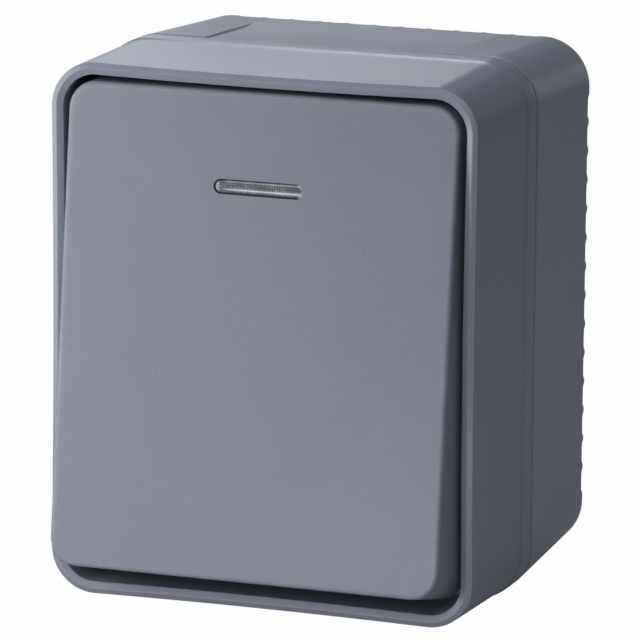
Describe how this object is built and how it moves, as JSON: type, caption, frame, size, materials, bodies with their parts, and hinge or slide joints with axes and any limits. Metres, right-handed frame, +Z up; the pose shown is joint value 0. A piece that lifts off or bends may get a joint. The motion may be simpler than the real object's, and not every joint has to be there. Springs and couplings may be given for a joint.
{
  "type": "weatherproof surface-mounted rocker switch",
  "caption": "Grey surface-mounted outdoor wall switch: drafted box with a scalloped rear edge, tapered cover and a large tilting rocker with a small clear indicator window.",
  "frame": {"origin": "centre of the wall plane, at the middle of the four wall fixing holes", "axes": "+X to the right seen from the front, +Y into the wall, +Z up"},
  "size_m": [0.0666, 0.0603, 0.08],
  "materials": {
    "grey_housing": "fine moulded texture",
    "grey_cover": "fine moulded texture",
    "grey_rocker": "fine moulded texture",
    "clear_lens": "clear, ribbed behind",
    "black_rubber": "matte",
    "black_plastic": "moulded",
    "white_plastic": "moulded",
    "zinc_steel": "zinc plated",
    "spring_steel": "drawn wire",
    "contact_brass": "rolled strip",
    "silver_contact": "satin",
    "lamp_glass": "clear",
    "lead_wire": "tinned",
    "resistor_body": "lacquered"
  },
  "bodies": {
    "case": {"back_box": "grey_housing", "cable_grommet": "black_rubber", "box_seal": "black_rubber", "front_cover": "grey_cover", "cover_screws": "zinc_steel", "mechanism_base": "white_plastic", "mechanism_cap": "white_plastic", "mechanism_screws": "zinc_steel", "line_contact": "contact_brass", "load_contact": "contact_brass", "fixed_contact": "silver_contact", "terminal_clamps": "zinc_steel", "terminal_screws": "zinc_steel", "lamp_holder": "white_plastic", "indicator_lamp": "lamp_glass", "lamp_leads": "lead_wire", "lamp_resistor": "resistor_body"},
    "rocker": {"rocker": "grey_rocker", "rocker_lens": "clear_lens", "rocker_cradle": "black_plastic", "detent_spring": "spring_steel"},
    "plunger": {"detent_plunger": "white_plastic"},
    "blade": {"contact_blade": "contact_brass", "blade_contact": "silver_contact"}
  },
  "joints": [
    {"name": "rocker_tilt", "type": "hinge", "parent": "case", "child": "rocker", "pos_m": [0, -0.0418, 0], "axis": [1, 0, 0], "range_deg": [0, 12.64]},
    {"name": "blade_rock", "type": "hinge", "parent": "case", "child": "blade", "pos_m": [0, -0.0245, 0], "axis": [1, 0, 0], "range_deg": [-16, 0]},
    {"name": "plunger_slide", "type": "slide", "parent": "rocker", "child": "plunger", "axis": [0, -0.9939, 0.1101], "range_m": [0, 0.0008], "stiffness_N_per_m": 100, "springref_m": -0.004, "deforming": ["detent_spring"]}
  ],
  "couplings": [
    {"joint": "blade_rock", "follows": "rocker_tilt", "ratio": -1.2658}
  ]
}
